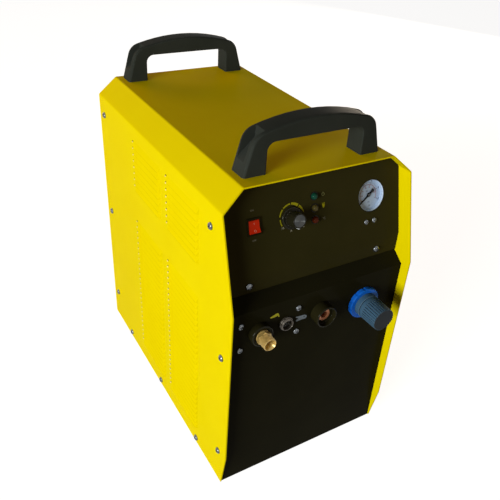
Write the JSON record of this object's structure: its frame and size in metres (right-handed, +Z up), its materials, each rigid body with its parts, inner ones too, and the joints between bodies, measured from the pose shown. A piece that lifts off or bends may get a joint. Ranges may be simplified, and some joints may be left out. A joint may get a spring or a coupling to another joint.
{
  "type": "plasma cutter power unit",
  "caption": "Upright inverter plasma cutter unit with built-in compressor: bent yellow cover with louvred sides, black recessed front panels, arch handles on top, gauge, knob and air regulator.",
  "frame": {"origin": "on the floor plane, in the middle of the machine's width and of its whole depth, from the regulator knob's face to the cover's rear edge", "axes": "+X to the right seen from the front, +Y from the front to the back, +Z up; the feet stand on Z = 0"},
  "size_m": [0.2564, 0.4406, 0.4816],
  "materials": {
    "amber_lens": "gloss",
    "black_panel": "gloss",
    "black_plastic": "satin",
    "black_powder": "satin",
    "board_green": "satin",
    "brass_metal": "satin",
    "breaker_grey": "satin",
    "cap_aluminium": "satin",
    "capacitor_sleeve": "satin",
    "cast_housing": "satin",
    "clear_lens": "gloss",
    "copper_metal": "satin",
    "copper_wire": "satin",
    "dial_white": "satin",
    "ferrite": "matte",
    "foot_rubber": "matte",
    "green_lens": "gloss",
    "handle_plastic": "satin",
    "knob_plastic": "satin",
    "laminate_brown": "satin",
    "needle_black": "satin",
    "nut_blue": "satin",
    "pipe_blue": "satin",
    "red_lens": "gloss",
    "red_plastic": "gloss",
    "regulator_blue": "satin",
    "regulator_dark": "satin",
    "sink_aluminium": "satin",
    "yellow_powder": "gloss",
    "zinc_plate": "satin",
    "zinc_screw": "satin"
  },
  "bodies": {
    "housing": {"base_tray": "black_powder", "feet": "foot_rubber", "cover": "yellow_powder", "front_upper_panel": "black_panel", "front_lower_panel": "black_panel", "rear_panel": "black_panel", "deck": "zinc_plate", "cover_screws": "zinc_screw", "panel_screws": "zinc_screw", "front_handle": "handle_plastic", "rear_handle": "handle_plastic", "handle_bolts": "zinc_screw", "rocker_frame": "black_plastic", "potentiometer": "zinc_plate", "led_green": "green_lens", "led_amber": "amber_lens", "led_red": "red_lens", "led_holders": "black_plastic", "control_board": "board_green", "board_spacers": "brass_metal", "gauge_case": "black_plastic", "gauge_dial": "dial_white", "gauge_lens": "clear_lens", "gauge_bracket": "zinc_plate", "gauge_screws": "zinc_screw", "torch_terminal": "brass_metal", "torch_insulator": "black_plastic", "terminal_plate": "laminate_brown", "terminal_screws": "zinc_screw", "trigger_socket": "zinc_plate", "trigger_insert": "black_plastic", "earth_socket": "black_plastic", "earth_contact": "copper_metal", "regulator_body": "regulator_dark", "regulator_nut": "nut_blue", "fan_frame": "black_plastic", "fan_guard": "zinc_screw", "breaker_body": "breaker_grey", "cable_gland": "black_plastic", "air_inlet": "brass_metal", "earth_stud": "zinc_screw", "power_board": "board_green", "heat_sinks": "sink_aluminium", "transformer_core": "ferrite", "transformer_winding": "copper_wire", "capacitors": "capacitor_sleeve", "compressor_motor": "cast_housing", "compressor_heads": "cast_housing", "compressor_mounts": "foot_rubber", "air_valve": "brass_metal", "air_pipes": "pipe_blue"},
    "rocker": {"rocker_button": "red_plastic"},
    "knob": {"current_knob": "knob_plastic", "knob_cap": "cap_aluminium", "pot_shaft": "zinc_plate"},
    "needle": {"gauge_needle": "needle_black"},
    "reg_spindle": {"regulator_spindle": "zinc_plate"},
    "reg_knob": {"regulator_knob": "regulator_blue"},
    "rotor": {"fan_rotor": "black_plastic"},
    "breaker": {"breaker_lever": "black_plastic"}
  },
  "joints": [
    {"name": "rocker_tilt", "type": "hinge", "parent": "housing", "child": "rocker", "pos_m": [-0.0804, -0.14981, 0.37324], "axis": [1, 0, 0], "range_deg": [0, 22]},
    {"name": "current_knob_turn", "type": "hinge", "parent": "housing", "child": "knob", "pos_m": [-0.032, -0.14954, 0.37234], "axis": [0, 0.9648, -0.2631], "range_deg": [0, 300]},
    {"name": "gauge_needle_turn", "type": "hinge", "parent": "housing", "child": "needle", "pos_m": [0.0808, -0.14392, 0.37392], "axis": [0, 0.9648, -0.2631], "range_deg": [0, 244]},
    {"name": "regulator_turn", "type": "hinge", "parent": "housing", "child": "reg_spindle", "pos_m": [0.0683, -0.1787, 0.2432], "axis": [0, 1, 0], "range_deg": [-720, 720]},
    {"name": "regulator_pull", "type": "slide", "parent": "reg_spindle", "child": "reg_knob", "axis": [0, -1, 0], "range_m": [0, 0.004]},
    {"name": "fan_spin", "type": "hinge", "parent": "housing", "child": "rotor", "pos_m": [0.032, 0.1983, 0.306], "axis": [0, 1, 0], "continuous": true},
    {"name": "breaker_toggle", "type": "hinge", "parent": "housing", "child": "breaker", "pos_m": [-0.078, 0.2113, 0.35], "axis": [-1, 0, 0], "range_deg": [0, 56]}
  ]
}
